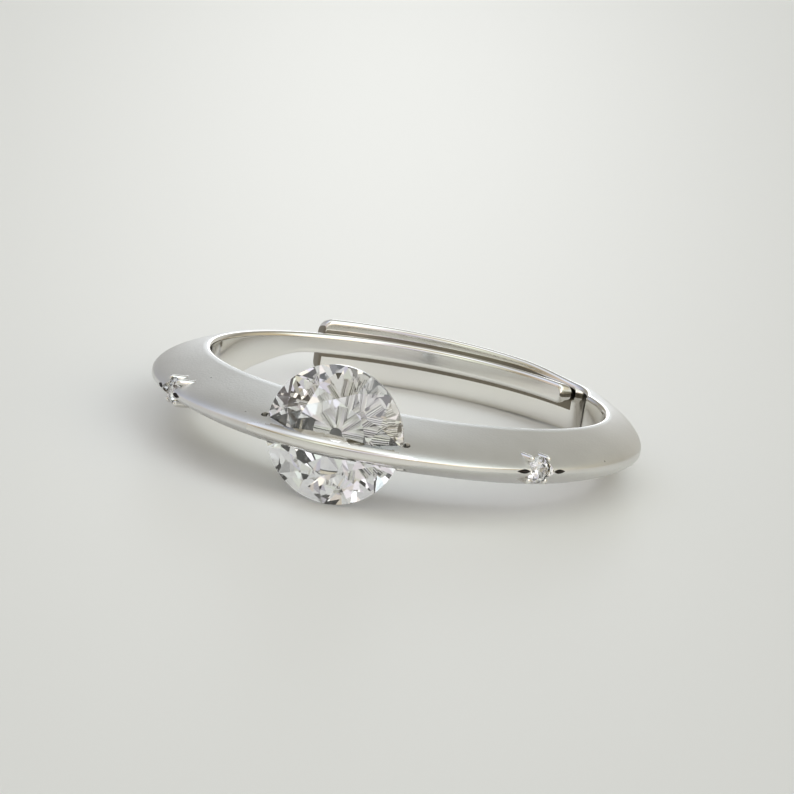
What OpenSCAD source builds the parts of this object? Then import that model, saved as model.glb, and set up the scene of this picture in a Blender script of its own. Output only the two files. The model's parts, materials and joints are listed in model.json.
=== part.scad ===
// Open-back ring with a knife-edge band, a main stone behind a bar and two accent stones.
// Millimetres, +Z up. The ring lies on its side on Z = 0, main stone towards -Y.
// It rests on the underside of the main stone and on the lower edge of the outer strip.

/* [Finger hole] */
// Inside diameter of the finger hole
finger_d = 16.2; // [16:0.1:17]
// Width of the bright broken edge around the finger hole
rim_break = 0.12; // [0.08:0.01:0.14]

/* [Band] */
// Width of the band from edge to edge
band_w = 2.25; // [2.1:0.05:2.4]
// Height of the ridge above the hole at the main stone
front_h = 4.45; // [4.35:0.05:4.6]
// How far the ridge drops from the main stone to the shoulders beside it
shoulder_drop = 0.65; // [0.5:0.05:0.85]
// Height of the ridge above the hole at the accent stones
accent_h = 2.86; // [2.7:0.02:3]
// Height of the ridge above the hole at the sides
side_h = 1.8; // [1.65:0.05:1.9]
// How far the outside of the band is shifted to the left of the hole
side_shift = 0.1; // [0:0.05:0.2]
// Width of the bright land along the ridge
ridge_w = 0.14; // [0.1:0.01:0.18]

/* [Open back] */
// Angle from the middle of the back to each free end
lap_deg = 38; // [34:1:44]
// Width of the inner tongue
tongue_w = 0.84; // [0.7:0.02:1.1]
// Thickness of the inner tongue
tongue_t = 0.62; // [0.5:0.02:0.75]
// Thickness of the outer strip
strip_t = 0.78; // [0.6:0.02:0.9]
// Gap between the tongue and the strip
lap_gap = 0.1; // [0.08:0.02:0.2]
// Height of the strip's lower edge above the lower edge of the band
strip_lift = 0.25; // [0.15:0.05:0.3]
// How far the strip's upper edge climbs above the band up to its free end
strip_climb = 0.5; // [0.3:0.05:0.6]
// Corner radius at the free ends
end_corner = 0.3; // [0.2:0.05:0.4]
// How far the face of a free end bulges
end_dome = 0.06; // [0.04:0.01:0.1]

/* [Main stone] */
// Diameter of the main stone
main_d = 5.5; // [5.3:0.1:5.6]
// Height of the stone's middle above the middle of the band
main_rise = 0.3; // [0.1:0.05:0.35]
// Thickness of the bar in front of the table
bar_t = 0.62; // [0.55:0.01:0.68]
// Radius of the hole behind the point of the stone
culet_hole_r = 0.6; // [0.5:0.05:0.7]
// Radius of the burr marks at the ends of the seat
burr_r = 0.22; // [0.15:0.01:0.25]
// Gap between each stone and its seat
seat_gap = 0.03; // [0.02:0.01:0.04]

/* [Accent stones] */
// Diameter of an accent stone
accent_d = 1.1; // [1:0.05:1.2]
// Angle around the finger hole from the main stone to an accent stone
accent_deg = 45; // [42:1:50]
// Depth of an accent stone's table below the ridge
accent_sink = 0.12; // [0.1:0.01:0.16]
// Diameter of a holding bead
bead_d = 0.26; // [0.22:0.01:0.3]
// Length of the groove beside an accent stone
groove_len = 0.65; // [0.5:0.05:0.7]
// Radius of that groove
groove_r = 0.1; // [0.08:0.01:0.12]

/* [Hidden] */
$fn = 96;
eps = 0.01;

hole_r = finger_d / 2;
half_w = band_w / 2;
main_r = main_d / 2;
accent_r = accent_d / 2;
lap_in = tongue_t + lap_gap;
strip_low = strip_lift - half_w;
strip_high = half_w + strip_climb;
tongue_low = half_w - tongue_w;
free_end = 180 + lap_deg;
lap_start = 180 - lap_deg;

// The inner side dips this far into the hole, and the hole then cuts it to a true cylinder
dip = -0.4;

// Proportions of a round brilliant, as shares of its diameter
table_share = 0.56;
crown_share = 0.155;
girdle_share = 0.022;
pavilion_share = 0.43;
star_share = 0.745;
lower_share = 0.42;
facets = 8;
step = 360 / facets;

// Distances from the ring's axis to the planes of the main stone
table_at = hole_r + front_h - bar_t;
girdle_at = table_at - main_d * crown_share;
girdle_back = girdle_at - main_d * girdle_share;
culet_at = girdle_back - main_d * pavilion_share;

// Columns of the tables of the band's shape
AT = 0;     // degrees around the hole from the main stone
HEIGHT = 1; // outer surface above the hole
INNER = 2;  // inner surface above the hole
LOW = 3;    // lower edge, from the middle of the band
HIGH = 4;   // upper edge, from the middle of the band
BLUNT = 5;  // 1 is a straight-sided ridge, towards 0 the section is squarer

// One side from the main stone to past its accent stone, with this much added at its widest
function side_rows(more) = [
    [0, front_h, dip, -half_w, half_w, 0.51],
    [22, front_h - shoulder_drop + more * sin(22), dip, -half_w, half_w, 0.61],
    [accent_deg, accent_h + more * sin(accent_deg), dip, -half_w, half_w, 0.72],
    [75, mix(side_h, accent_h, 0.24) + more, dip, -half_w, half_w, 0.6],
    [98, side_h + more, dip, -half_w, half_w, 0.5]
];
// The right side is thinned from the inside into the outer strip, whose upper edge climbs
right_rows = concat(side_rows(-side_shift), [
    [lap_start - 24, lap_in + strip_t, dip, -half_w, half_w, 0.3],
    [lap_start, lap_in + strip_t, lap_in, strip_low, mix(half_w, strip_high, 0.1), 0.12],
    [lap_start + 20, lap_in + strip_t, lap_in, strip_low, mix(half_w, strip_high, 0.65), 0.1],
    [180, lap_in + strip_t, lap_in, strip_low, mix(half_w, strip_high, 0.85), 0.1],
    [free_end, lap_in + strip_t, lap_in, strip_low, strip_high, 0.1]
]);
// The left side narrows from below and from the outside into the inner tongue
left_rows = concat(side_rows(side_shift), [
    [lap_start - 26, mix(tongue_t, side_h, 0.65), dip, mix(-half_w, tongue_low, 0.55), half_w, 0.28],
    [lap_start - 6, tongue_t, dip, tongue_low, half_w, 0.12],
    [free_end, tongue_t, dip, tongue_low, half_w, 0.12]
]);

// Stations of the sweep, in degrees, closer together at the rounded free ends
turns = 84;
end_steps = [0, 0.5, 1.2, 2];
even_end = free_end - 4;
stations = concat(
    [for (s = end_steps) s - free_end],
    [for (i = [0 : turns]) mix(-even_end, even_end, i / turns)],
    [for (i = [3 : -1 : 0]) free_end - end_steps[i]]
);

// Shares of the way from the ridge to the edge at which the section has points
shares = [0, 0.02, 0.08, 0.2, 0.38, 0.6, 0.82, 1];

function mix(from, to, share) = from + (to - from) * share;

// Slope of a table's column at row i; the middle of the stone is a level crest
function row_slope(rows, column, i) =
    i == 0 || i == len(rows) - 1 ? 0
    : let (before = (rows[i][column] - rows[i - 1][column]) / (rows[i][AT] - rows[i - 1][AT]),
           after = (rows[i + 1][column] - rows[i][column]) / (rows[i + 1][AT] - rows[i][AT]))
      before * after <= 0 ? 0 : 2 * before * after / (before + after);

// Smooth value of a column at an angle: a cubic between two rows, with no overshoot
function value(rows, column, at, i = 0) =
    i < len(rows) - 2 && at > rows[i + 1][AT] ? value(rows, column, at, i + 1)
    : let (span = rows[i + 1][AT] - rows[i][AT],
           u = (at - rows[i][AT]) / span,
           a = rows[i][column],
           b = rows[i + 1][column],
           sa = row_slope(rows, column, i) * span,
           sb = row_slope(rows, column, i + 1) * span)
      a + sa * u + (3 * (b - a) - 2 * sa - sb) * u * u + (2 * (a - b) + sa + sb) * u * u * u;

// How far the edges draw in at a station to round the corners of the free ends
function end_inset(a) =
    let (left = (free_end - abs(a)) * PI / 180 * hole_r)
    left >= end_corner ? 0 : end_corner - sqrt(pow(end_corner, 2) - pow(end_corner - left, 2));

// Section of the band at an angle, as [distance from the axis, height] pairs
function section(a) =
    let (rows = a < 0 ? left_rows : right_rows,
         at = abs(a),
         outer = hole_r + value(rows, HEIGHT, at),
         inner = hole_r + value(rows, INNER, at),
         low = value(rows, LOW, at) + end_inset(a),
         high = value(rows, HIGH, at) - end_inset(a),
         blunt = value(rows, BLUNT, at),
         edge = max(inner + eps, hole_r + 1.5 * rim_break),
         mid = (low + high) / 2,
         half = (high - low) / 2,
         upper = [for (s = shares) [mix(outer, edge, s),
                                    ridge_w / 2 + (half - ridge_w / 2) * pow(s, blunt)]],
         last = len(upper) - 1)
    concat(
        [[inner, low]],
        [for (i = [last : -1 : 0]) [upper[i][0], mid - upper[i][1]]],
        [for (p = upper) [p[0], mid + p[1]]],
        [[inner, high]]
    );

function around(a, p) = [p[0] * sin(a), -p[0] * cos(a), p[1]];

// Distance from the axis to the ridge on a side, and how far the ridge leans at its accent stone
function ridge_at(side, a) = hole_r + value(side < 0 ? left_rows : right_rows, HEIGHT, a);
function ridge_lean(side) =
    let (fall = (ridge_at(side, accent_deg - 1) - ridge_at(side, accent_deg + 1)) / 2 * 180 / PI)
    atan(fall / ridge_at(side, accent_deg));

// Resting pose: the tilt that brings the stone and the strip to one level
main_low = main_rise - main_r;
rest_tilt = atan((strip_low - main_low) / (girdle_back + hole_r + lap_in));
rest_drop = girdle_back * sin(rest_tilt) + main_low * cos(rest_tilt);
front_y = -(hole_r + front_h) * cos(rest_tilt);
back_y = max([for (p = section(180)) p[0] * cos(rest_tilt) + p[1] * sin(rest_tilt)]);
side_x = [for (a = stations) for (p = section(a)) around(a, p)[0]];
middle_x = (min(side_x) + max(side_x)) / 2;

// Puts the ring, modelled level around its finger hole, into its resting pose
module at_rest() {
    translate([-middle_x, -(front_y + back_y) / 2, -rest_drop])
        rotate([-rest_tilt, 0, 0])
            children();
}

// Frame of the main stone: +Z away from the finger, at a distance from the axis
module on_front(distance) {
    translate([0, -distance, main_rise])
        rotate([90, 0, 0])
            children();
}

// Frame of an accent stone: +Z away from the finger, X along the ridge
module on_ridge(side) {
    rotate([0, 0, side * accent_deg])
        translate([0, -ridge_at(side, accent_deg), 0])
            rotate([0, 0, side * ridge_lean(side)])
                rotate([90, 0, 0])
                    children();
}

// Height of the corners between the small and the large facets on the back of a brilliant
function lower_height(d) =
    -d * (girdle_share + pavilion_share * (1 - lower_share * cos(step / 2) * cos(step / 4)));

// Round brilliant, girdle's upper edge at Z = 0: flat facets cut back to a true round girdle
module brilliant(d) {
    r = d / 2;
    corner_r = r / cos(step / 4);
    table_r = d * table_share / 2;
    crown = d * crown_share;
    girdle = d * girdle_share;
    pavilion = d * pavilion_share;
    star_r = r * star_share;
    star_z = crown * (corner_r - star_r * cos(step / 2)) / (corner_r - table_r);
    lower_r = r * lower_share;
    table_ring = [for (i = [0 : facets - 1]) [i * step, table_r, crown]];
    star_ring = [for (i = [0 : facets - 1]) [(i + 0.5) * step, star_r, star_z]];
    top_ring = [for (i = [0 : 2 * facets - 1]) [i * step / 2, corner_r, 0]];
    back_ring = [for (i = [0 : 2 * facets - 1]) [i * step / 2, corner_r, -girdle]];
    lower_ring = [for (i = [0 : facets - 1]) [(i + 0.5) * step, lower_r, lower_height(d)]];
    corners = concat(table_ring, star_ring, top_ring, back_ring, lower_ring);
    intersection() {
        hull()
            polyhedron(
                points = concat(
                    [for (c = corners) [c[1] * cos(c[0]), c[1] * sin(c[0]), c[2]]],
                    [[0, 0, -girdle - pavilion]]
                ),
                faces = [[for (i = [0 : facets - 1]) i], [for (i = [0 : len(corners)]) i]]
            );
        translate([0, 0, -girdle - pavilion - eps])
            cylinder(r = r, h = crown + girdle + pavilion + 2 * eps);
    }
}

// Room around a brilliant, a seat gap larger than its facets on every side
module stone_room(d) {
    r = d / 2;
    shoulder = d * (table_share / 2 + 0.035);
    rotate_extrude()
        polygon([
            [0, d * crown_share + seat_gap],
            [shoulder, d * crown_share + seat_gap],
            [r + seat_gap, seat_gap * 2.5],
            [r + seat_gap, -d * girdle_share - seat_gap * 2],
            [r * lower_share, lower_height(d) - seat_gap * 1.5],
            [0, -d * (girdle_share + pavilion_share) - seat_gap * 2.5]
        ]);
}

// The shank as one sweep around the finger, from the tongue's end to the strip's end.
// Each free end is slightly domed: its faces fan out to a tip a little beyond the last section.
module shank() {
    rings = [for (a = stations) [for (p = section(a)) around(a, p)]];
    count = len(rings[0]);
    last = len(rings) - 1;
    tip_at = free_end + end_dome / hole_r * 180 / PI;
    tips = [
        around(-tip_at, [hole_r + tongue_t / 2, (tongue_low + half_w) / 2]),
        around(tip_at, [hole_r + lap_in + strip_t / 2, (strip_low + strip_high) / 2])
    ];
    tip = count * (last + 1);
    polyhedron(
        points = concat([for (ring = rings) each ring], tips),
        faces = concat(
            [for (j = [0 : count - 1]) [j, tip, (j + 1) % count]],
            [for (i = [0 : last - 1], j = [0 : count - 1])
                [i * count + j, i * count + (j + 1) % count,
                 (i + 1) * count + (j + 1) % count, (i + 1) * count + j]],
            [for (j = [0 : count - 1])
                [last * count + j, last * count + (j + 1) % count, tip + 1]]
        ),
        convexity = 8
    );
}

// The finger hole with its broken edges
module finger_hole() {
    flare = 3 * rim_break;
    straight = half_w - rim_break;
    profile = [[hole_r, straight], [hole_r + flare, straight + flare], [hole_r + flare, band_w]];
    rotate_extrude()
        polygon(concat(
            [[0, -band_w]],
            [for (i = [2 : -1 : 0]) [profile[i][0], -profile[i][1]]],
            profile,
            [[0, band_w]]
        ));
}

// What the setter cuts for the main stone: its room, the burr marks and the hole behind it
module main_seat() {
    on_front(girdle_at) {
        stone_room(main_d);
        translate([0, 0, culet_at - girdle_at - 2])
            cylinder(r = culet_hole_r, h = 3);
        for (side = [-1, 1])
            translate([side * (main_r + burr_r / 3), band_w, -main_d * girdle_share / 2])
                rotate([90, 0, 0])
                    cylinder(r = burr_r, h = 2 * band_w);
    }
}

// What the setter cuts for an accent stone: an open seat and a groove before and after it
module accent_seat() {
    seat_r = accent_r + 2 * seat_gap;
    seat_z = -accent_sink - accent_d * (crown_share + girdle_share) - 2 * seat_gap;
    tip_z = seat_z - accent_d * pavilion_share;
    rotate_extrude()
        polygon([[0, tip_z], [seat_r / 6, tip_z], [seat_r, seat_z], [seat_r, 1], [0, 1]]);
    for (side = [-1, 1])
        translate([side * (seat_r + seat_gap), 0, -groove_r / 3])
            rotate([0, side * 90, 0])
                rotate_extrude()
                    polygon([[0, 0], [groove_r, 0.15 * groove_len],
                             [groove_r, 0.6 * groove_len], [0, groove_len]]);
}

// Four beads raised beside an accent stone, each a small domed post
module accent_beads() {
    reach = accent_r + bead_d / 4;
    r = bead_d / 2;
    for (turn_to = [45 : 90 : 315])
        rotate([0, 0, turn_to])
            translate([reach, 0, -accent_sink - accent_d * crown_share])
                rotate_extrude($fn = 32)
                    polygon([[0, -5 * r], [r, -5 * r], [r, 0],
                             [r * cos(35), r * sin(35)], [r * cos(65), r * sin(65)], [0, r]]);
}

module band() {
    color("silver")
        at_rest()
            difference() {
                union() {
                    difference() {
                        shank();
                        for (side = [-1, 1])
                            on_ridge(side)
                                accent_seat();
                    }
                    for (side = [-1, 1])
                        on_ridge(side)
                            accent_beads();
                }
                for (side = [-1, 1])
                    on_ridge(side)
                        translate([0, 0, -accent_sink - accent_d * crown_share])
                            stone_room(accent_d);
                finger_hole();
                main_seat();
            }
}

module main_stone() {
    color([0.92, 0.95, 0.98, 0.8])
        at_rest()
            on_front(girdle_at)
                brilliant(main_d);
}

module accent_stone(side) {
    color([0.92, 0.95, 0.98, 0.8])
        at_rest()
            on_ridge(side)
                translate([0, 0, -accent_sink - accent_d * crown_share])
                    brilliant(accent_d);
}

module accent_stone_left() {
    accent_stone(-1);
}

module accent_stone_right() {
    accent_stone(1);
}

band();
main_stone();
accent_stone_left();
accent_stone_right();
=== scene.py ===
"""An open-back knife-edge ring with a round brilliant behind its bar, dressed for a product picture.

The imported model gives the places: the finger hole's mount gives the ring's axis and radius, and the box
of the main stone gives its diameter. Every length is in metres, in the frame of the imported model.
"""

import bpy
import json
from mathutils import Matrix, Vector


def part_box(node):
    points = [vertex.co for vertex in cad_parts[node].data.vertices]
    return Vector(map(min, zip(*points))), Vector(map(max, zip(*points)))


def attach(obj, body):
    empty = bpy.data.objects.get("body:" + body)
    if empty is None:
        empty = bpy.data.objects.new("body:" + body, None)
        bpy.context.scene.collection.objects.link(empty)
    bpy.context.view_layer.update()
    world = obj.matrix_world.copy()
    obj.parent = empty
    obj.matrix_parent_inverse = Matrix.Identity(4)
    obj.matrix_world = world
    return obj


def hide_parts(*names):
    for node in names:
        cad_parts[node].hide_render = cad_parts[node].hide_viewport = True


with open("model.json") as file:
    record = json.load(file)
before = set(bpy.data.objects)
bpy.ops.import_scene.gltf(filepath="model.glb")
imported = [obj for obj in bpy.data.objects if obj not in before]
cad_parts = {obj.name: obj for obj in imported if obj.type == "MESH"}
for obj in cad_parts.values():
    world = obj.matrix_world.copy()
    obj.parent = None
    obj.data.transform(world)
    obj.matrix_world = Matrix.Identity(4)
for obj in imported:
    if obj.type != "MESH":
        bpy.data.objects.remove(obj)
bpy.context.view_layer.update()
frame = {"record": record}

import json
import logging
import math
from dataclasses import dataclass
from enum import Enum
from typing import NamedTuple, Sequence

import bmesh
import bpy
from mathutils import Matrix, Vector

LOG = logging.getLogger("ring")
MM = 0.001
SLIVER = 0.00005 * MM
TINY = 1e-9
SHARP_ANGLE = 32.0
ACCENT_DIAMETER = 1.1 * MM
BODY = "root"

Outline = list[tuple[float, float]]


class Side(Enum):
    """The two sides of the ring, seen from the front with the ring lying down."""

    LEFT = -1
    RIGHT = 1


class Zone(Enum):
    """The finish of a strip of the band's surface, or the shade painted on it; the value is its place among
    the materials.
    """

    MATTE = 0
    POLISHED = 1
    # Near-black tone painted in the grooves beside the accent stones, as the shade inside the narrow cuts.
    CUT = 2
    # Dark tone painted where shade falls: in the gap between the tongue and the strip, and on the free
    # ends.
    PAINTED_SHADE = 3


class Node(Enum):
    """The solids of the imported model."""

    BAND = "band"
    MAIN_STONE = "main_stone"
    ACCENT_LEFT = "accent_stone_left"
    ACCENT_RIGHT = "accent_stone_right"


class Slot(Enum):
    """The material slots of the record."""

    SILVER = "silver"
    STONE = "clear_stone"


class Row(NamedTuple):
    """The band's section at one angle: heights are above the finger hole, edges from its middle."""

    at: float
    height: float
    inner: float
    low: float
    high: float
    blunt: float


class SectionPoint(NamedTuple):
    """A corner of the band's section: distance from the axis, height and the finish, or painted shade,
    after it.
    """

    radius: float
    height: float
    zone: Zone


def mix(start: float, end: float, share: float) -> float:
    """Return the value that lies this share of the way from start to end."""
    return start + (end - start) * share


def row_slope(rows: Sequence[Row], column: str, index: int) -> float:
    """Slope of a column at a row, held level at both ends and at every crest or dip.

    Args:
        rows: The table, in the order of its angles.
        column: Name of the column.
        index: Number of the row.

    Returns:
        The change of the column for each degree.
    """
    if index in (0, len(rows) - 1):
        return 0.0
    below, here, above = (getattr(rows[i], column) for i in (index - 1, index, index + 1))
    before = (here - below) / (rows[index].at - rows[index - 1].at)
    after = (above - here) / (rows[index + 1].at - rows[index].at)
    return 0.0 if before * after <= 0 else 2 * before * after / (before + after)


def smooth_value(rows: Sequence[Row], column: str, at: float) -> float:
    """Value of a column at an angle: a cubic between two rows, with no overshoot.

    Args:
        rows: The table, in the order of its angles.
        column: Name of the column.
        at: Angle in degrees.

    Returns:
        The smooth value.
    """
    index = max(i for i in range(len(rows) - 1) if i == 0 or at > rows[i].at)
    span = rows[index + 1].at - rows[index].at
    share = (at - rows[index].at) / span
    start, end = getattr(rows[index], column), getattr(rows[index + 1], column)
    slope_in = row_slope(rows, column, index) * span
    slope_out = row_slope(rows, column, index + 1) * span
    square = 3 * (end - start) - 2 * slope_in - slope_out
    cube = 2 * (start - end) + slope_in + slope_out
    return start + slope_in * share + square * share**2 + cube * share**3


def new_object(name: str, mesh: bpy.types.Mesh) -> bpy.types.Object:
    """Put a mesh into the scene as an object.

    Args:
        name: Name of the new object.
        mesh: Its mesh.

    Returns:
        The object.
    """
    thing = bpy.data.objects.new(name, mesh)
    bpy.context.scene.collection.objects.link(thing)
    return thing


def lathe(name: str, outline: Outline, sides: int, places: Sequence[Matrix],
          zone: Zone = Zone.POLISHED) -> bpy.types.Object:
    """Turn an outline round its own Z, once for each place, into one object.

    Args:
        name: Name of the object.
        outline: Points as (radius, height), from the bottom of the axis to its top.
        sides: Number of sides of the turned form.
        places: A matrix for each copy.
        zone: Finish, or painted shade, of all its faces.

    Returns:
        The object.
    """
    shape = bmesh.new()
    for place in places:
        rings = []
        for radius, height in outline:
            count = 1 if radius < TINY else sides
            rings.append([
                shape.verts.new(place @ Vector((
                    radius * math.cos(math.tau * i / count),
                    radius * math.sin(math.tau * i / count),
                    height,
                )))
                for i in range(count)
            ])
        for lower, upper in zip(rings, rings[1:]):
            for i in range(sides):
                corners = [lower[i % len(lower)], lower[(i + 1) % len(lower)],
                           upper[(i + 1) % len(upper)], upper[i % len(upper)]]
                shape.faces.new(list(dict.fromkeys(corners)))
    for face in shape.faces:
        face.material_index = zone.value
    bmesh.ops.recalc_face_normals(shape, faces=shape.faces)
    mesh = bpy.data.meshes.new(name)
    shape.to_mesh(mesh)
    shape.free()
    return new_object(name, mesh)


@dataclass(frozen=True)
class RingPlace:
    """Where the ring lies: its frame has Z along the finger hole and the main stone towards -Y."""

    centre: Vector
    axis: Vector
    hole_radius: float

    @classmethod
    def from_record(cls, record: dict) -> "RingPlace":
        """Read the place from the finger hole's mount.

        Args:
            record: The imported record.

        Returns:
            The place of the ring.
        """
        mount = next(m for m in record["mounts"] if m["name"] == "finger_hole")
        return cls(Vector(mount["pos_m"]), Vector(mount["axis"]).normalized(),
                   mount["dims"]["r_mm"] * MM)

    def matrix(self) -> Matrix:
        """Transform from the ring's own frame to the model's.

        Returns:
            The transform, a turn followed by a move.
        """
        along_x = Vector((1.0, 0.0, 0.0))
        along_y = self.axis.cross(along_x)
        turn = Matrix((along_x, along_y, self.axis)).transposed().to_4x4()
        return Matrix.Translation(self.centre) @ turn


@dataclass(frozen=True)
class Cut:
    """Proportions of a round brilliant: shares of its diameter, and of its radius for star and lower."""

    table: float = 0.56
    crown: float = 0.155
    girdle: float = 0.022
    pavilion: float = 0.43
    star: float = 0.745
    lower: float = 0.42
    mains: int = 8
    girdle_sides: int = 96

    @property
    def depth(self) -> float:
        """Depth from the girdle's upper edge to the point."""
        return self.girdle + self.pavilion

    @property
    def lower_depth(self) -> float:
        """Depth of the corners between the small and the large facets on the back."""
        inward = self.lower * math.cos(math.pi / self.mains) * math.cos(math.pi / self.mains / 2)
        return self.girdle + self.pavilion * (1 - inward)


@dataclass
class BandShape:
    """Sizes of the band, in the ring's own frame, and its section at every angle.

    Angles are in degrees from the main stone. The wall dip lies inside the hole's radius and is cut off
    there, so that the inner wall stays on the hole until the strip begins.
    """

    hole_radius: float
    half_width: float = 1.125 * MM
    rim: float = 0.17 * MM
    front_height: float = 4.45 * MM
    shoulder_drop: float = 0.65 * MM
    accent_height: float = 2.86 * MM
    side_height: float = 1.8 * MM
    side_shift: float = 0.1 * MM
    ridge_width: float = 0.14 * MM
    wall_dip: float = -0.4 * MM
    flank_share: float = 0.24
    bar_shine: int = 9
    ridge_shine: int = 1
    bar_end: float = 17.0
    shine_end: float = 40.0
    lap: float = 38.0
    tongue_width: float = 0.84 * MM
    tongue_thickness: float = 0.62 * MM
    strip_thickness: float = 0.78 * MM
    lap_gap: float = 0.1 * MM
    strip_lift: float = 0.25 * MM
    strip_climb: float = 0.5 * MM
    end_corner: float = 0.3 * MM
    end_dome: float = 0.06 * MM
    shoulder_angle: float = 22.0
    accent_angle: float = 45.0
    flank_angle: float = 75.0
    side_angle: float = 98.0
    tongue_shine: float = 150.0
    face_points: int = 22
    face_crowding: float = 2.2
    rim_points: int = 5
    wall_share: float = 0.9
    # Painted shade: between these heights the strip's inner wall behind the tongue is painted dark.
    dark_top: float = 1.19 * MM
    dark_low: float = 0.04 * MM

    @property
    def free_end(self) -> float:
        """Angle of both free ends, from the main stone."""
        return 180.0 + self.lap

    def side_rows(self, more: float) -> list[Row]:
        """Rows from the main stone to past the accent stone.

        Args:
            more: Height added where the side is widest.

        Returns:
            The rows, the same for both sides apart from what is added.
        """
        width, dip = self.half_width, self.wall_dip
        at_shoulder, at_accent = (
            more * math.sin(math.radians(angle)) for angle in (self.shoulder_angle, self.accent_angle))
        shoulder = self.front_height - self.shoulder_drop + at_shoulder
        flank = mix(self.side_height, self.accent_height, self.flank_share)
        return [
            Row(0, self.front_height, dip, -width, width, 0.51),
            Row(self.shoulder_angle, shoulder, dip, -width, width, 0.61),
            Row(self.accent_angle, self.accent_height + at_accent, dip, -width, width, 0.72),
            Row(self.flank_angle, flank + more, dip, -width, width, 0.6),
            Row(self.side_angle, self.side_height + more, dip, -width, width, 0.5),
        ]

    def rows(self, side: Side) -> list[Row]:
        """The whole table of a side, ending in the strip on the right and the tongue on the left.

        Args:
            side: Side of the ring.

        Returns:
            The rows, in the order of their angles.
        """
        width, dip = self.half_width, self.wall_dip
        start = 180.0 - self.lap
        inner = self.tongue_thickness + self.lap_gap
        outer = inner + self.strip_thickness
        if side is Side.RIGHT:
            low, top = self.strip_lift - width, width + self.strip_climb
            return self.side_rows(-self.side_shift) + [
                Row(start - 24, outer, dip, -width, width, 0.3),
                Row(start, outer, inner, low, mix(width, top, 0.1), 0.12),
                Row(start + 20, outer, inner, low, mix(width, top, 0.65), 0.1),
                Row(180, outer, inner, low, mix(width, top, 0.85), 0.1),
                Row(self.free_end, outer, inner, low, top, 0.1),
            ]
        thick, low = self.tongue_thickness, width - self.tongue_width
        return self.side_rows(self.side_shift) + [
            Row(start - 26, mix(thick, self.side_height, 0.65), dip, mix(-width, low, 0.55), width, 0.28),
            Row(start - 6, thick, dip, low, width, 0.12),
            Row(self.free_end, thick, dip, low, width, 0.12),
        ]

    def end_inset(self, angle: float) -> float:
        """How far the edges draw in at an angle to round the corners of the free ends.

        Args:
            angle: Degrees round the hole from the main stone, towards the right.

        Returns:
            The distance, which is 0 away from the ends.
        """
        left = math.radians(self.free_end - abs(angle)) * self.hole_radius
        if left >= self.end_corner:
            return 0.0
        return self.end_corner - math.sqrt(self.end_corner**2 - (self.end_corner - left) ** 2)

    def shine_rows(self, angle: float) -> int:
        """Number of face points beside the ridge that are polished: the bar, and the ridge on its right.

        Args:
            angle: Degrees round the hole from the main stone, towards the right.

        Returns:
            The number, which is 0 where the face is satin up to its ridge.
        """
        along = min(1.0, abs(angle) / self.bar_end)
        beside = self.ridge_shine if 0 < angle < self.shine_end else 0
        return max(beside, round(self.bar_shine * math.sqrt(1 - along**2)))

    def section(self, angle: float) -> list[SectionPoint]:
        """Section of the band at an angle, once round from its ridge.

        Args:
            angle: Degrees round the hole from the main stone, towards the right.

        Returns:
            The corners: upper face, upper rim, inner wall, lower rim and lower face.
        """
        rows = self.rows(Side.LEFT if angle < 0 else Side.RIGHT)
        at = abs(angle)
        outer = self.hole_radius + smooth_value(rows, "height", at)
        inner = self.hole_radius + max(0.0, smooth_value(rows, "inner", at))
        low = smooth_value(rows, "low", at) + self.end_inset(angle)
        high = smooth_value(rows, "high", at) - self.end_inset(angle)
        blunt = smooth_value(rows, "blunt", at)
        middle, half = (low + high) / 2, (high - low) / 2
        flat = self.ridge_width / 2
        shine = self.shine_rows(angle)
        edge = inner + self.rim
        face = []
        for i in range(self.face_points + 1):
            share = (i / self.face_points) ** self.face_crowding
            rise = flat + (half - flat) * share**blunt
            face.append((mix(outer, edge, share), rise, Zone.POLISHED if i < shine else Zone.MATTE))
        arc = [
            (edge - self.rim * math.sin(turn), half - self.rim + self.rim * math.cos(turn))
            for turn in (math.pi / 2 * i / self.rim_points for i in range(1, self.rim_points + 1))
        ]
        wall = half - self.rim
        dark = self.wall_share * wall
        upper = [SectionPoint(r, middle + z, zone) for r, z, zone in face]
        upper[-1] = upper[-1]._replace(zone=Zone.POLISHED)
        upper += [SectionPoint(r, middle + z, Zone.POLISHED) for r, z in arc]
        # Painted shade: from the start of the strip on, the inner wall behind the tongue takes a dark tone
        # for the shade in the gap.
        gap = Zone.PAINTED_SHADE if angle > 180 - self.lap else Zone.POLISHED
        upper.append(SectionPoint(inner, min(self.dark_top, middle + dark), gap))
        upper.append(SectionPoint(inner, max(self.dark_low, middle - dark), Zone.POLISHED))
        lower = [SectionPoint(inner, middle - wall, Zone.POLISHED)]
        lower += [SectionPoint(r, middle - z, Zone.POLISHED) for r, z in reversed(arc[:-1])]
        lower += [
            SectionPoint(face[i][0], middle - face[i][1], face[max(i - 1, 0)][2])
            for i in range(self.face_points, -1, -1)
        ]
        return upper + lower

    def around(self, angle: float, radius: float, height: float) -> Vector:
        """Point at an angle, a distance from the axis and a height, in the ring's own frame."""
        turn = math.radians(angle)
        return Vector((radius * math.sin(turn), -radius * math.cos(turn), height))

    def ridge(self, side: Side, angle: float) -> float:
        """Distance from the axis to the ridge on a side, at an angle from the main stone."""
        return self.hole_radius + smooth_value(self.rows(side), "height", angle)

    def ridge_lean(self, side: Side) -> float:
        """Lean of the ridge at the accent stone of a side.

        Args:
            side: Side of the ring.

        Returns:
            The angle in radians between the ridge and a circle round the hole.
        """
        near, far = (self.ridge(side, self.accent_angle + step) for step in (-1, 1))
        fall = (near - far) / 2 * 180 / math.pi
        return math.atan(fall / self.ridge(side, self.accent_angle))


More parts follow.
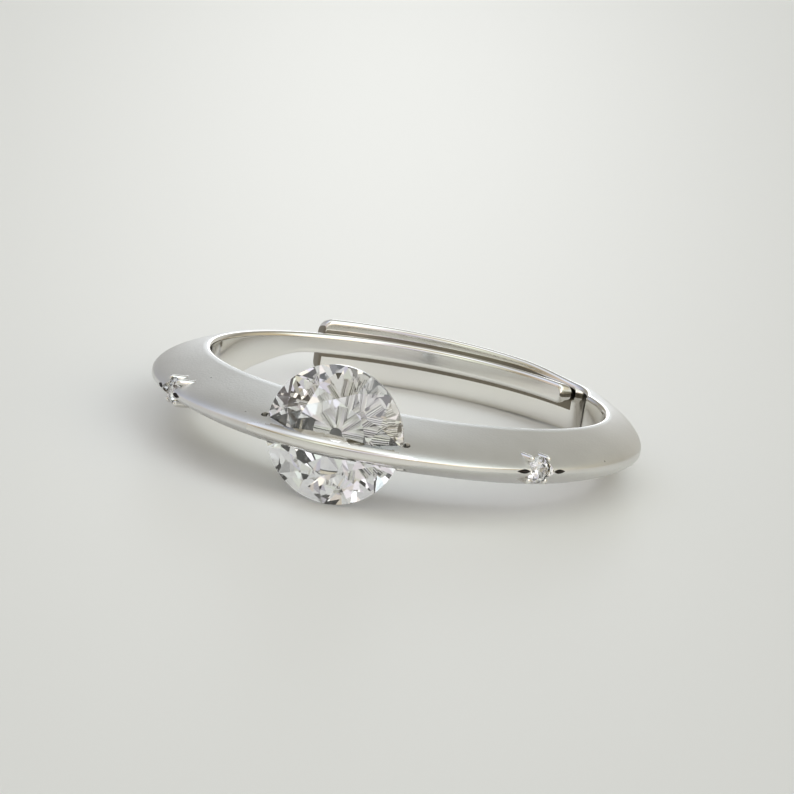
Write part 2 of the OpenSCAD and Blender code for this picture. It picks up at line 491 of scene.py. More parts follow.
@dataclass
class Seats:
    """What the setter cuts and raises for the three stones, in the ring's own frame."""

    shape: BandShape
    cut: Cut
    main_diameter: float
    accent_diameter: float
    main_rise: float = 0.3 * MM
    bar: float = 0.62 * MM
    culet_hole: float = 0.25 * MM
    burr: float = 0.22 * MM
    gap: float = 0.03 * MM
    accent_sink: float = 0.12 * MM
    bead: float = 0.13 * MM
    groove_length: float = 0.72 * MM
    groove: float = 0.09 * MM
    groove_dip: float = 4.5
    groove_swell: tuple[float, ...] = (0.0, 0.45, 0.8, 1.0, 1.0, 0.85, 0.6, 0.3, 0.0)
    room_shoulder: float = 0.035
    bead_root: float = 5.0
    reach: float = 1.0 * MM

    @property
    def girdle_at(self) -> float:
        """Distance from the axis to the upper edge of the main stone's girdle."""
        table_at = self.shape.hole_radius + self.shape.front_height - self.bar
        return table_at - self.main_diameter * self.cut.crown

    def on_front(self) -> Matrix:
        """Frame of the main stone: Z away from the finger, from its girdle."""
        place = Matrix.Translation((0, -self.girdle_at, self.main_rise))
        return place @ Matrix.Rotation(math.pi / 2, 4, "X")

    def on_ridge(self, side: Side) -> Matrix:
        """Frame of an accent stone: Z away from the finger, X along the ridge.

        Args:
            side: Side of the ring.

        Returns:
            The transform to the ring's own frame.
        """
        turn = Matrix.Rotation(side.value * math.radians(self.shape.accent_angle), 4, "Z")
        out = Matrix.Translation((0, -self.shape.ridge(side, self.shape.accent_angle), 0))
        lean = Matrix.Rotation(side.value * self.shape.ridge_lean(side), 4, "Z")
        return turn @ out @ lean @ Matrix.Rotation(math.pi / 2, 4, "X")

    def accent_girdle(self) -> Matrix:
        """Step from the ridge down to the upper edge of an accent stone's girdle."""
        return Matrix.Translation((0, 0, -self.accent_sink - self.accent_diameter * self.cut.crown))

    def room(self, diameter: float) -> Outline:
        """Outline of the room round a stone, a seat gap larger than its facets.

        Args:
            diameter: Diameter of the stone.

        Returns:
            The outline, from the point of the room to the middle of its top.
        """
        radius, cut = diameter / 2, self.cut
        top = diameter * cut.crown + self.gap
        return [
            (0, -diameter * cut.depth - self.gap * 2.5),
            (radius * cut.lower, -diameter * cut.lower_depth - self.gap * 1.5),
            (radius + self.gap, -diameter * cut.girdle - self.gap * 2),
            (radius + self.gap, self.gap * 2.5),
            (diameter * (cut.table / 2 + self.room_shoulder), top),
            (0, top),
        ]

    def first_cuts(self, place: Matrix) -> bpy.types.Object:
        """Cutters of the accent stones' open seats and of the grooves beside them.

        Args:
            place: Transform from the ring's own frame to the model's.

        Returns:
            One object with all the cutters.
        """
        diameter, cut = self.accent_diameter, self.cut
        radius = diameter / 2 + 2 * self.gap
        floor = -self.accent_sink - diameter * (cut.crown + cut.girdle) - 2 * self.gap
        tip = floor - diameter * cut.pavilion
        seats = [place @ self.on_ridge(side) for side in Side]
        tip_radius = radius / 6
        outline = [(0, tip), (tip_radius, tip), (radius, floor), (radius, self.reach), (0, self.reach)]
        seat = lathe("seat_cutter", outline, sides=64, places=seats)
        length, swell = self.groove_length, self.groove_swell
        spindle = [(self.groove * s, length * i / (len(swell) - 1)) for i, s in enumerate(swell)]
        starts = [
            seat_place @ Matrix.Translation((end * radius, 0, 0))
            @ Matrix.Rotation(end * math.radians(90 + self.groove_dip), 4, "Y")
            for seat_place in seats for end in (-1, 1)
        ]
        # Painted shade: the faces these cutters leave in the grooves take a near-black tone.
        grooves = lathe("groove_cutter", spindle, sides=24, places=starts, zone=Zone.CUT)
        return joined([seat, grooves])

    def beads(self, place: Matrix) -> bpy.types.Object:
        """The four holding beads of each accent stone.

        Args:
            place: Transform from the ring's own frame to the model's.

        Returns:
            One object with all the beads.
        """
        radius, root = self.bead, -self.bead_root * self.bead
        beside = self.accent_diameter / 2 + radius / 2
        dome = [(radius * math.cos(a), radius * math.sin(a)) for a in (math.pi / 12 * i for i in range(6))]
        places = [
            place @ self.on_ridge(side) @ Matrix.Rotation(math.radians(turn), 4, "Z")
            @ Matrix.Translation((beside, 0, -self.accent_sink - self.accent_diameter * self.cut.crown))
            for side in Side for turn in (45, 135, 225, 315)
        ]
        return lathe("bead_adder", [(0, root), (radius, root), *dome, (0, radius)], sides=32, places=places)

    def last_cuts(self, place: Matrix) -> bpy.types.Object:
        """Cutters of the rooms of the stones, the burr marks and the hole behind the main stone.

        Args:
            place: Transform from the ring's own frame to the model's.

        Returns:
            One object with all the cutters.
        """
        front = place @ self.on_front()
        rooms = lathe("room_cutter", self.room(self.main_diameter), sides=128, places=[front],
                      zone=Zone.MATTE)
        small = lathe("small_room_cutter", self.room(self.accent_diameter), sides=64,
                      places=[place @ self.on_ridge(side) @ self.accent_girdle() for side in Side])
        depth = self.main_diameter * self.cut.depth
        low, high = -depth - 2 * self.reach, -depth + self.reach
        outline = [(0, low), (self.culet_hole, low), (self.culet_hole, high), (0, high)]
        hole = lathe("hole_cutter", outline, sides=48, places=[front])
        long = 2 * self.shape.half_width
        across = [
            front @ Matrix.Translation((side.value * (self.main_diameter / 2 + self.burr / 3), 0,
                                        -self.main_diameter * self.cut.girdle / 2))
            @ Matrix.Rotation(math.pi / 2, 4, "X")
            for side in Side
        ]
        outline = [(0, -long), (self.burr, -long), (self.burr, long), (0, long)]
        burrs = lathe("burr_cutter", outline, sides=32, places=across)
        return joined([rooms, small, hole, burrs])


def joined(things: Sequence[bpy.types.Object]) -> bpy.types.Object:
    """Join objects into the first of them.

    Args:
        things: The objects; all but the first are removed.

    Returns:
        The first object, which now holds all the meshes.
    """
    shape = bmesh.new()
    for thing in things:
        shape.from_mesh(thing.data)
    first = things[0]
    shape.to_mesh(first.data)
    shape.free()
    for thing in things[1:]:
        bpy.data.objects.remove(thing)
    return first


def clear_slivers(mesh: bpy.types.Mesh) -> None:
    """Merge corners that lie closer together than a sliver, and drop faces with no area.

    Args:
        mesh: The mesh, changed in place.
    """
    shape = bmesh.new()
    shape.from_mesh(mesh)
    bmesh.ops.remove_doubles(shape, verts=shape.verts, dist=SLIVER)
    bmesh.ops.dissolve_degenerate(shape, edges=shape.edges, dist=SLIVER)
    shape.to_mesh(mesh)
    shape.free()


@dataclass
class Band:
    """The shank of silver: one sweep round the finger, with the setter's cuts and beads."""

    shape: BandShape
    seats: Seats
    place: RingPlace
    step: float = 0.9
    end_zone: float = 3.0
    end_steps: tuple[float, ...] = (0.0, 0.12, 0.3, 0.55, 0.85, 1.2, 1.6, 2.1)
    dome_shares: tuple[float, ...] = (0.8, 0.55, 0.3)

    def stations(self) -> list[float]:
        """Angles of the sweep, closer together at the rounded free ends.

        Returns:
            The angles in degrees, from the tongue's end to the strip's.
        """
        end = self.shape.free_end
        last = end - self.end_zone
        count = round(2 * last / self.step)
        even = [mix(-last, last, i / count) for i in range(count + 1)]
        return [s - end for s in self.end_steps] + even + [end - s for s in reversed(self.end_steps)]

    def sweep(self) -> bpy.types.Object:
        """Build the plain shank, before any cut.

        Returns:
            The shank, with a finish or painted shade on each face.
        """
        shape = self.shape
        place = self.place.matrix()
        mesh = bmesh.new()
        stations = self.stations()
        sections = [shape.section(angle) for angle in stations]
        rings = [
            [mesh.verts.new(place @ shape.around(angle, p.radius, p.height)) for p in section]
            for angle, section in zip(stations, sections)
        ]
        count = len(rings[0])
        for k in range(len(rings) - 1):
            for j in range(count):
                following = (j + 1) % count
                face = mesh.faces.new((rings[k][j], rings[k + 1][j],
                                       rings[k + 1][following], rings[k][following]))
                zone = sections[k][j].zone
                tongue = stations[k] < -shape.tongue_shine
                face.material_index = (Zone.POLISHED if tongue else zone).value
        for ring, section, sign in ((rings[0], sections[0], -1), (rings[-1], sections[-1], 1)):
            self.close_end(mesh, ring, section, sign)
        bmesh.ops.recalc_face_normals(mesh, faces=mesh.faces)
        data = bpy.data.meshes.new("ring_band")
        mesh.to_mesh(data)
        mesh.free()
        return new_object("ring_band", data)

    def close_end(self, mesh: bmesh.types.BMesh, ring: list[bmesh.types.BMVert],
                  section: list[SectionPoint], sign: int) -> None:
        """Close a free end with a shallow dome, painted dark as shade.

        Args:
            mesh: The mesh that the end belongs to.
            ring: Its last corners.
            section: The section that the corners follow.
            sign: -1 for the tongue's end, 1 for the strip's.
        """
        shape = self.shape
        place = self.place.matrix()
        middle_r = (min(p.radius for p in section) + max(p.radius for p in section)) / 2
        middle_z = (min(p.height for p in section) + max(p.height for p in section)) / 2
        # Painted shade: every face of the dome gets the dark tone of painted shade.
        outer = ring
        for share in self.dome_shares:
            bulge = shape.end_dome * math.sqrt(1 - share**2)
            angle = sign * (shape.free_end + math.degrees(bulge / shape.hole_radius))
            inner = [
                mesh.verts.new(place @ shape.around(
                    angle, mix(middle_r, p.radius, share), mix(middle_z, p.height, share)))
                for p in section
            ]
            for j in range(len(ring)):
                following = (j + 1) % len(ring)
                face = mesh.faces.new((outer[j], outer[following], inner[following], inner[j]))
                face.material_index = Zone.PAINTED_SHADE.value
            outer = inner
        mesh.faces.new(outer).material_index = Zone.PAINTED_SHADE.value

    def build(self, finishes: dict[Zone, bpy.types.Material]) -> bpy.types.Object:
        """Sweep the shank, cut the seats, raise the beads and dress it.

        Args:
            finishes: Material of each zone of the surface.

        Returns:
            The finished band, which stands for its solid.
        """
        band = self.sweep()
        place = self.place.matrix()
        steps = (
            ("DIFFERENCE", self.seats.first_cuts(place)),
            ("UNION", self.seats.beads(place)),
            ("DIFFERENCE", self.seats.last_cuts(place)),
        )
        for thing in (band, *(tool for _, tool in steps)):
            for zone in Zone:
                thing.data.materials.append(finishes[zone])
        for number, (operation, tool) in enumerate(steps):
            change = band.modifiers.new(f"step_{number}", "BOOLEAN")
            change.operation = operation
            change.solver = "MANIFOLD"
            change.object = tool
        depsgraph = bpy.context.evaluated_depsgraph_get()
        finished = bpy.data.meshes.new_from_object(band.evaluated_get(depsgraph))
        band.modifiers.clear()
        band.data = finished
        for _, tool in steps:
            bpy.data.objects.remove(tool)
        clear_slivers(finished)
        finished.shade_smooth()
        finished.set_sharp_from_angle(angle=math.radians(SHARP_ANGLE))
        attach(band, BODY)
        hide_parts(Node.BAND.value)
        return band


@dataclass
class Brilliant:
    """A round brilliant with its table, stars, kites, halves and a round girdle."""

    name: str
    node: Node
    diameter: float
    cut: Cut
    place: Matrix

    def planes(self) -> list[tuple[Vector, Vector]]:
        """Facet planes as (point, outward direction), in the stone's own frame.

        Returns:
            The planes of the table, the crown, the girdle and the pavilion.
        """
        cut, size = self.cut, self.diameter
        step = math.tau / cut.mains
        radius = size / 2
        corner = radius / math.cos(step / 4)
        table = size * cut.table / 2
        crown, girdle, pavilion = (size * s for s in (cut.crown, cut.girdle, cut.pavilion))
        star = radius * cut.star
        star_height = crown * (corner - star * math.cos(step / 2)) / (corner - table)
        low, low_height = radius * cut.lower, -size * cut.lower_depth

        def ring(turn: float, distance: float, height: float) -> Vector:
            """Return the point at a number of facet steps, a distance and a height."""
            return Vector((distance * math.cos(turn * step), distance * math.sin(turn * step), height))

        tip = Vector((0, 0, -girdle - pavilion))
        inside = tip * 0.3
        triples = []
        for i in range(cut.mains):
            on_table, front, back = ring(i, table, crown), ring(i, corner, 0), ring(i, corner, -girdle)
            triples.append((on_table, ring(i + 1, table, crown), ring(i + 0.5, star, star_height)))
            triples.append((on_table, ring(i - 0.5, star, star_height), front))
            triples.append((tip, back, ring(i + 0.5, low, low_height)))
            for beside in (i - 0.5, i + 0.5):
                triples.append((ring(beside, star, star_height), front, ring(beside, corner, 0)))
                triples.append((ring(beside, low, low_height), back, ring(beside, corner, -girdle)))
        found = [(Vector((0, 0, crown)), Vector((0, 0, 1)))]
        for a, b, c in triples:
            out = (b - a).cross(c - a).normalized()
            found.append((a, -out if out.dot(a - inside) < 0 else out))
        for i in range(cut.girdle_sides):
            turn = math.tau * i / cut.girdle_sides
            out = Vector((math.cos(turn), math.sin(turn), 0))
            found.append((out * radius, out))
        return found

    def build(self, material: bpy.types.Material) -> bpy.types.Object:
        """Cut the stone facet by facet from a block and dress it.

        Args:
            material: Material of the stone.

        Returns:
            The stone, which stands for its solid.
        """
        shape = bmesh.new()
        bmesh.ops.create_cube(shape, size=self.diameter * 2)
        for point, out in self.planes():
            geometry = shape.verts[:] + shape.edges[:] + shape.faces[:]
            sliced = bmesh.ops.bisect_plane(shape, geom=geometry, dist=TINY, plane_co=point, plane_no=out,
                                            clear_outer=True)
            edges = [e for e in sliced["geom_cut"] if isinstance(e, bmesh.types.BMEdge)]
            if edges:
                bmesh.ops.contextual_create(shape, geom=edges)
        bmesh.ops.recalc_face_normals(shape, faces=shape.faces)
        mesh = bpy.data.meshes.new(self.name)
        shape.to_mesh(mesh)
        shape.free()
        mesh.transform(self.place)
        mesh.materials.append(material)
        stone = new_object(self.name, mesh)
        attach(stone, BODY)
        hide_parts(self.node.value)
        return stone


class NodeGroups:
    """Shader groups that more than one material uses, each built once."""

    @staticmethod
    def new_group(name: str, inputs: dict[str, float], outputs: dict[str, str]) -> tuple:
        """Make an empty group with its sockets.

        Args:
            name: Name of the group.
            inputs: Names and start values of its numbers.
            outputs: Names and socket types of what it puts out.

        Returns:
            The tree, its input node and its output node.
        """
        tree = bpy.data.node_groups.new(name, "ShaderNodeTree")
        for label, value in inputs.items():
            socket = tree.interface.new_socket(label, in_out="INPUT", socket_type="NodeSocketFloat")
            socket.default_value = value
        for label, kind in outputs.items():
            tree.interface.new_socket(label, in_out="OUTPUT", socket_type=kind)
        return tree, tree.nodes.new("NodeGroupInput"), tree.nodes.new("NodeGroupOutput")

    @classmethod
    def grain(cls) -> bpy.types.ShaderNodeTree:
        """Fine grain with slow cloudiness, for anything blasted, brushed or polished.

        Returns:
            The group, with its Cloud and Grain values and its Height.
        """
        tree, given, result = cls.new_group(
            "surface_grain",
            {"Cloud Scale": 300.0, "Grain Scale": 20000.0, "Grain Share": 0.5},
            {"Cloud": "NodeSocketFloat", "Grain": "NodeSocketFloat", "Height": "NodeSocketFloat"},
        )
        add, link = tree.nodes.new, tree.links.new
        place = add("ShaderNodeTexCoord")
        cloud, grain = add("ShaderNodeTexNoise"), add("ShaderNodeTexNoise")
        cloud.inputs["Detail"].default_value = 4.0
        grain.inputs["Detail"].default_value = 2.0
        link(place.outputs["Object"], cloud.inputs["Vector"])
        link(place.outputs["Object"], grain.inputs["Vector"])
        link(given.outputs["Cloud Scale"], cloud.inputs["Scale"])
        link(given.outputs["Grain Scale"], grain.inputs["Scale"])
        blend = add("ShaderNodeMix")
        link(given.outputs["Grain Share"], blend.inputs["Factor"])
        link(cloud.outputs["Fac"], blend.inputs["A"])
        link(grain.outputs["Fac"], blend.inputs["B"])
        link(cloud.outputs["Fac"], result.inputs["Cloud"])
        link(grain.outputs["Fac"], result.inputs["Grain"])
        link(blend.outputs["Result"], result.inputs["Height"])
        return tree

    @classmethod
    def pits(cls) -> bpy.types.ShaderNodeTree:
        """Sparse small pits and specks, as cast metal and dust leave them.

        Returns:
            The group, with a Mask that is 1 in a pit and 0 elsewhere.
        """
        tree, given, result = cls.new_group(
            "pits", {"Spacing": 700.0, "Size": 0.05}, {"Mask": "NodeSocketFloat"})
        add, link = tree.nodes.new, tree.links.new
        place, cells, small = add("ShaderNodeTexCoord"), add("ShaderNodeTexVoronoi"), add("ShaderNodeMath")
        small.operation = "DIVIDE"
        fade = add("ShaderNodeMapRange")
        fade.inputs["From Min"].default_value = 0.5
        fade.inputs["From Max"].default_value = 1.0
        fade.inputs["To Min"].default_value = 1.0
        fade.inputs["To Max"].default_value = 0.0
        link(place.outputs["Object"], cells.inputs["Vector"])
        link(given.outputs["Spacing"], cells.inputs["Scale"])
        link(cells.outputs["Distance"], small.inputs[0])
        link(given.outputs["Size"], small.inputs[1])
        link(small.outputs["Value"], fade.inputs["Value"])
        link(fade.outputs["Result"], result.inputs["Mask"])
        return tree


@dataclass(frozen=True)
class SilverFinish:
    """A finish of the rhodium-plated silver, or a dark tone that paints shade on it."""

    name: str
    light: tuple[float, float, float]
    shade: tuple[float, float, float]
    roughness: tuple[float, float]
    cloud_scale: float
    grain_scale: float
    grain_depth: float
    pit_size: float
    pit_tone: tuple[float, float, float] = (0.12, 0.11, 0.1)

    def material(self, grain: bpy.types.ShaderNodeTree,
                 pits: bpy.types.ShaderNodeTree) -> bpy.types.Material:
        """Build the finish as a material.

        Args:
            grain: The group of the fine grain.
            pits: The group of the pits.

        Returns:
            The material.
        """
        made = bpy.data.materials.new(self.name)
        made.use_nodes = True
        nodes, link = made.node_tree.nodes, made.node_tree.links.new
        metal = nodes["Principled BSDF"]
        metal.inputs["Metallic"].default_value = 1.0
        texture = nodes.new("ShaderNodeGroup")
        texture.node_tree = grain
        texture.inputs["Cloud Scale"].default_value = self.cloud_scale
        texture.inputs["Grain Scale"].default_value = self.grain_scale
        dots = nodes.new("ShaderNodeGroup")
        dots.node_tree = pits
        dots.inputs["Size"].default_value = self.pit_size
        tint = nodes.new("ShaderNodeMix")
        tint.data_type = "RGBA"
        tint.inputs["A"].default_value = (*self.shade, 1)
        tint.inputs["B"].default_value = (*self.light, 1)
        link(texture.outputs["Cloud"], tint.inputs["Factor"])
        dark = nodes.new("ShaderNodeMix")
        dark.data_type = "RGBA"
        dark.inputs["B"].default_value = (*self.pit_tone, 1)
        link(dots.outputs["Mask"], dark.inputs["Factor"])
        link(tint.outputs["Result"], dark.inputs["A"])
        link(dark.outputs["Result"], metal.inputs["Base Color"])
        spread = nodes.new("ShaderNodeMapRange")
        spread.inputs["To Min"].default_value, spread.inputs["To Max"].default_value = self.roughness
        link(texture.outputs["Height"], spread.inputs["Value"])
        link(spread.outputs["Result"], metal.inputs["Roughness"])
        sink = nodes.new("ShaderNodeMath")
        sink.operation = "SUBTRACT"
        link(texture.outputs["Height"], sink.inputs[0])
        link(dots.outputs["Mask"], sink.inputs[1])
        bump = nodes.new("ShaderNodeBump")
        bump.inputs["Distance"].default_value = self.grain_depth
        link(sink.outputs["Value"], bump.inputs["Height"])
        link(bump.outputs["Normal"], metal.inputs["Normal"])
        return made


@dataclass(frozen=True)
class StoneFinish:
    """A clear cut stone with a strong sparkle and a breath of dust on its facets."""

    name: str = "clear_cut_stone"
    index: float = 2.16
    clean: tuple[float, float, float] = (1.0, 1.0, 1.0)
    tinted: tuple[float, float, float] = (0.93, 0.95, 1.0)
    dust_from: float = 0.6
    dust_roughness: float = 0.02

    def material(self, grain: bpy.types.ShaderNodeTree) -> bpy.types.Material:
        """Build the stone's material.

        Args:
            grain: The group of the fine grain.

        Returns:
            The material.
        """
        made = bpy.data.materials.new(self.name)
        made.use_nodes = True
        nodes, link = made.node_tree.nodes, made.node_tree.links.new
        glass = nodes["Principled BSDF"]
        glass.inputs["IOR"].default_value = self.index
        glass.inputs["Transmission Weight"].default_value = 1.0
        texture = nodes.new("ShaderNodeGroup")
        texture.node_tree = grain
        tint = nodes.new("ShaderNodeMix")
        tint.data_type = "RGBA"
        tint.inputs["A"].default_value = (*self.clean, 1)
        tint.inputs["B"].default_value = (*self.tinted, 1)
        link(texture.outputs["Cloud"], tint.inputs["Factor"])
        link(tint.outputs["Result"], glass.inputs["Base Color"])
        spread = nodes.new("ShaderNodeMapRange")
        spread.inputs["From Min"].default_value = self.dust_from
        spread.inputs["To Max"].default_value = self.dust_roughness
        link(texture.outputs["Cloud"], spread.inputs["Value"])
        link(spread.outputs["Result"], glass.inputs["Roughness"])
        return made


@dataclass(frozen=True)
class Patch:
    """A soft patch of light in the surroundings, by the direction of its middle.

    It is full up to the inner angle from there and gone at the outer one.
    """

    azimuth: float
    elevation: float
    inner: float
    outer: float
    colour: tuple[float, float, float]

    def direction(self) -> Vector:
        """Return the direction of the patch; azimuth 0 is towards -Y, the camera's side."""
        turn, rise = math.radians(self.azimuth), math.radians(self.elevation)
        return Vector((math.sin(turn) * math.cos(rise), -math.cos(turn) * math.cos(rise), math.sin(rise)))


@dataclass
class Studio:
    """Pale floor, soft light all round, and a camera at the picture's angle.

    The camera's values come from a fit to outlines read off the photograph, and those of the pool of
    light painted into the floor's colour from a fit to the floor's tones there.
    """

    picture: int = 794
    sensor: float = 36.0
    clip: tuple[float, float] = (0.01, 20.0)
    pixels_per_metre: float = 24764.8
    azimuth: float = 13.097
    elevation: float = 14.394
    roll: float = 8.982
    distance: float = 0.245848
    target: tuple[float, float, float] = (0.092 * MM, 0.0716 * MM, 2.2218 * MM)
    floor_half: float = 3.0
    # Painted light: a soft, long patch of the floor's colour behind the ring is brighter, standing in for
    # the glare of the light behind.
    pool_centre: tuple[float, float, float] = (-18.3 * MM, 66 * MM, 0.0)
    pool_size: tuple[float, float, float] = (27 * MM, 150 * MM, 27 * MM)
    pool_turn: float = 13.7
    floor_tone: tuple[float, float, float] = (0.722, 0.722, 0.707)
    painted_pool_tone: tuple[float, float, float] = (0.973, 0.973, 0.968)
    floor_roughness: float = 0.55
    far_tone: tuple[float, float, float] = (0.85, 0.85, 0.84)

    def add_camera(self) -> None:
        """Place the camera so that the ring lies in the frame as it does in the picture."""
        turn, rise = math.radians(self.azimuth), math.radians(self.elevation)
        back = Vector((math.sin(turn) * math.cos(rise), -math.cos(turn) * math.cos(rise), math.sin(rise)))
        right = Vector((math.cos(turn), math.sin(turn), 0.0))
        up = back.cross(right)
        level = Matrix((right, up, back)).transposed().to_4x4()
        data = bpy.data.cameras.new("picture_camera")
        data.sensor_width = self.sensor
        data.lens = data.sensor_width * self.pixels_per_metre * self.distance / self.picture
        data.clip_start, data.clip_end = self.clip
        camera = bpy.data.objects.new("picture_camera", data)
        bpy.context.scene.collection.objects.link(camera)
        place = Matrix.Translation(Vector(self.target) + back * self.distance)
        camera.matrix_world = place @ level @ Matrix.Rotation(math.radians(self.roll), 4, "Z")
        bpy.context.scene.camera = camera

    def add_floor(self) -> None:
        """Lay a wide pale floor under the ring, with a pool of light painted into its colour behind the
        ring.
        """
        shape = bmesh.new()
        bmesh.ops.create_grid(shape, x_segments=2, y_segments=2, size=self.floor_half)
        mesh = bpy.data.meshes.new("floor")
        shape.to_mesh(mesh)
        shape.free()
        made = bpy.data.materials.new("pale_floor")
        made.use_nodes = True
        nodes, link = made.node_tree.nodes, made.node_tree.links.new
        surface = nodes["Principled BSDF"]
        place, pool = nodes.new("ShaderNodeTexCoord"), nodes.new("ShaderNodeMapping")
        fade = nodes.new("ShaderNodeTexGradient")
        pool.vector_type = "TEXTURE"
        pool.inputs["Location"].default_value = self.pool_centre
        pool.inputs["Rotation"].default_value = (0.0, 0.0, math.radians(self.pool_turn))
        pool.inputs["Scale"].default_value = self.pool_size
        fade.gradient_type = "SPHERICAL"
        soft = nodes.new("ShaderNodeMapRange")
        soft.interpolation_type = "SMOOTHSTEP"
        # Painted light: the floor's colour is brighter inside the pool, for the glare of the light behind
        # the ring.
        tint = nodes.new("ShaderNodeMix")
        tint.data_type = "RGBA"
        tint.inputs["A"].default_value = (*self.floor_tone, 1)
        tint.inputs["B"].default_value = (*self.painted_pool_tone, 1)
        link(place.outputs["Object"], pool.inputs["Vector"])
        link(pool.outputs["Vector"], fade.inputs["Vector"])
        link(fade.outputs["Fac"], soft.inputs["Value"])
        link(soft.outputs["Result"], tint.inputs["Factor"])
        link(tint.outputs["Result"], surface.inputs["Base Color"])
        surface.inputs["Roughness"].default_value = self.floor_roughness
        mesh.materials.append(made)
        new_object("floor", mesh)

    def add_surroundings(self, base: tuple[float, float, float], patches: Sequence[Patch]) -> None:
        """Surround the ring with an even glow and patches of light that add to it.

        Args:
            base: Colour of the even glow.
            patches: The patches.
        """
        world = bpy.data.worlds.new("studio")
        world.use_nodes = True
        bpy.context.scene.world = world
        nodes, link = world.node_tree.nodes, world.node_tree.links.new
        glow = nodes["Background"]
        place = nodes.new("ShaderNodeTexCoord")
        colour: bpy.types.NodeSocket | None = None
        for patch in patches:
            along = nodes.new("ShaderNodeVectorMath")
            along.operation = "DOT_PRODUCT"
            along.inputs[1].default_value = patch.direction()
            link(place.outputs["Generated"], along.inputs[0])
            fade = nodes.new("ShaderNodeMapRange")
            fade.interpolation_type = "SMOOTHSTEP"
            fade.inputs["From Min"].default_value = math.cos(math.radians(patch.outer))
            fade.inputs["From Max"].default_value = math.cos(math.radians(patch.inner))
            link(along.outputs["Value"], fade.inputs["Value"])
            layer = nodes.new("ShaderNodeVectorMath")
            layer.operation = "MULTIPLY_ADD"
            layer.inputs[0].default_value = patch.colour
            layer.inputs[2].default_value = base
            link(fade.outputs["Result"], layer.inputs[1])
            if colour is not None:
                link(colour, layer.inputs[2])
            colour = layer.outputs["Vector"]
        seen = nodes.new("ShaderNodeLightPath")
        plain = nodes.new("ShaderNodeMix")
        plain.data_type = "RGBA"
        plain.inputs["B"].default_value = (*self.far_tone, 1)
        link(seen.outputs["Is Camera Ray"], plain.inputs["Factor"])
        link(colour, plain.inputs["A"])
        link(plain.outputs["Result"], glow.inputs["Color"])


MATTE = SilverFinish("matte_silver", (0.83, 0.83, 0.82), (0.71, 0.71, 0.70), (0.38, 0.46),
                     500.0, 9000.0, 0.02 * MM, 0.035)
POLISHED = SilverFinish("polished_silver", (0.86, 0.85, 0.82), (0.80, 0.785, 0.75), (0.06, 0.12),
                        500.0, 3000.0, 0.0001 * MM, 0.004)
# Painted shade: a near-black tone for the shade inside the grooves.
CUT = SilverFinish("groove_painted_shade", (0.05, 0.046, 0.042), (0.03, 0.027, 0.025), (0.3, 0.4),
                   900.0, 12000.0, 0.001 * MM, 0.004)
# Painted shade: a dark olive tone for the shade in the gap between tongue and strip, and on the free ends.
PAINTED_SHADE = SilverFinish("painted_shade_silver", (0.28, 0.255, 0.205), (0.15, 0.13, 0.105), (0.25, 0.4),
                         700.0, 12000.0, 0.002 * MM, 0.004)
FINISHES = {Zone.MATTE: MATTE, Zone.POLISHED: POLISHED, Zone.CUT: CUT, Zone.PAINTED_SHADE: PAINTED_SHADE}

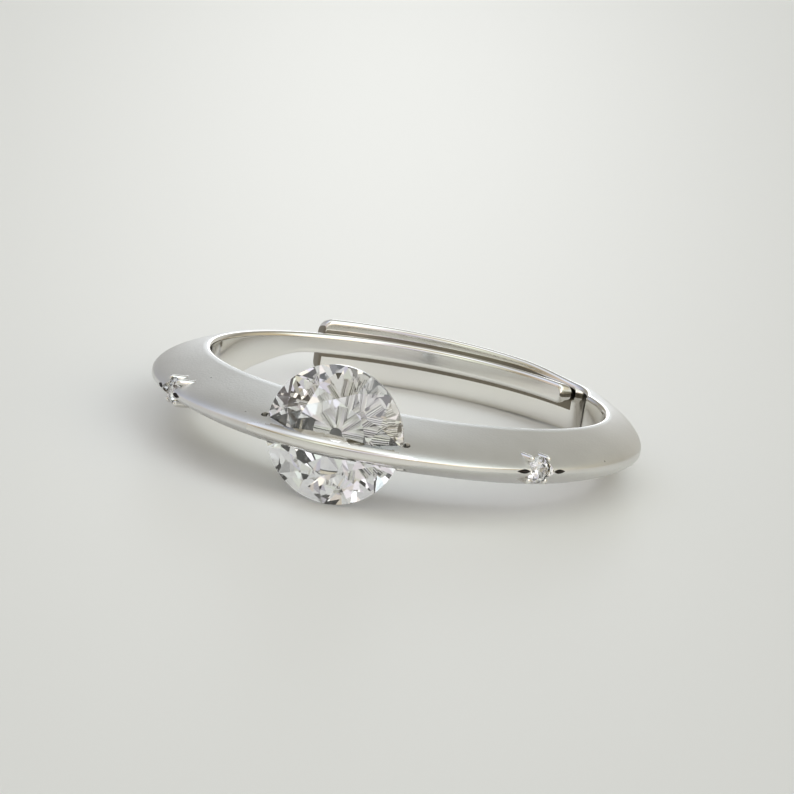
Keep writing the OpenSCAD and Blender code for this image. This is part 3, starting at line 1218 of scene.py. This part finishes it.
# The strengths below were not set by hand: a least-squares fit to the photograph's tones gave them, and
# those of the patches were rounded to 0.05 afterwards. Their directions and sizes were given.
EVEN_GLOW = (0.32, 0.30, 0.25)
PATCHES = (
    Patch(45, 5, 6, 34, (0.25, 0.2, 0.1)),
    Patch(90, 5, 6, 34, (0.1, 0.05, 0.0)),
    Patch(180, 5, 6, 34, (0.3, 0.3, 0.3)),
    Patch(270, 5, 6, 34, (0.35, 0.3, 0.3)),
    Patch(22, 28, 6, 34, (0.3, 0.3, 0.45)),
    Patch(67, 28, 6, 34, (1.2, 1.15, 1.05)),
    Patch(112, 28, 6, 34, (0.3, 0.25, 0.15)),
    Patch(247, 28, 6, 34, (0.15, 0.2, 0.35)),
    Patch(292, 28, 6, 34, (0.1, 0.05, 0.0)),
    Patch(337, 28, 6, 34, (0.45, 0.5, 0.45)),
    Patch(0, 55, 6, 34, (0.15, 0.1, 0.0)),
    Patch(90, 55, 6, 34, (0.7, 0.85, 0.9)),
    Patch(270, 55, 6, 34, (0.45, 0.5, 0.6)),
    Patch(0, 90, 6, 34, (0.7, 0.75, 0.8)),
    Patch(193, 6, 3, 12, (1.9, 2.0, 2.15)),
    Patch(193, 16, 3, 12, (0.5, 0.6, 0.7)),
    Patch(13, 32, 4, 14, (0.2, 0.2, 0.2)),
    Patch(345, 32, 4, 14, (0.3, 0.35, 0.35)),
    Patch(45, 45, 6, 18, (0.45, 0.45, 0.5)),
)


def build_ring() -> None:
    """Build the band and the stones in their places."""
    place = RingPlace.from_record(frame["record"])
    cut = Cut()
    main_low, main_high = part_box(Node.MAIN_STONE.value)
    main_diameter = main_high.x - main_low.x
    shape = BandShape(place.hole_radius)
    seats = Seats(shape, cut, main_diameter, ACCENT_DIAMETER)
    grain, pits = NodeGroups.grain(), NodeGroups.pits()
    finishes = {zone: finish.material(grain, pits) for zone, finish in FINISHES.items()}
    band = Band(shape, seats, place).build(finishes)
    LOG.info("%s: %d faces", band.name, len(band.data.polygons))
    clear = StoneFinish().material(grain)
    ring = place.matrix()
    stones = [Brilliant("main_brilliant", Node.MAIN_STONE, main_diameter, cut, ring @ seats.on_front())]
    for side, node in ((Side.LEFT, Node.ACCENT_LEFT), (Side.RIGHT, Node.ACCENT_RIGHT)):
        stones.append(Brilliant(f"accent_brilliant_{side.name.lower()}", node, ACCENT_DIAMETER, cut,
                                ring @ seats.on_ridge(side) @ seats.accent_girdle()))
    for stone in stones:
        made = stone.build(clear)
        LOG.info("%s: %d facets", made.name, len(made.data.polygons))


def build_studio() -> None:
    """Set the camera, the floor and the light around the ring."""
    studio = Studio()
    studio.add_camera()
    studio.add_floor()
    studio.add_surroundings(EVEN_GLOW, PATCHES)
    bpy.context.scene.view_settings.view_transform = "Standard"
    LOG.info("studio: camera, floor and %d patches of light", len(PATCHES))


def main() -> None:
    """Build the ring and its studio."""
    logging.basicConfig(level=logging.INFO, format="%(name)s: %(message)s")
    build_ring()
    build_studio()


if __name__ == "__main__":
    main()
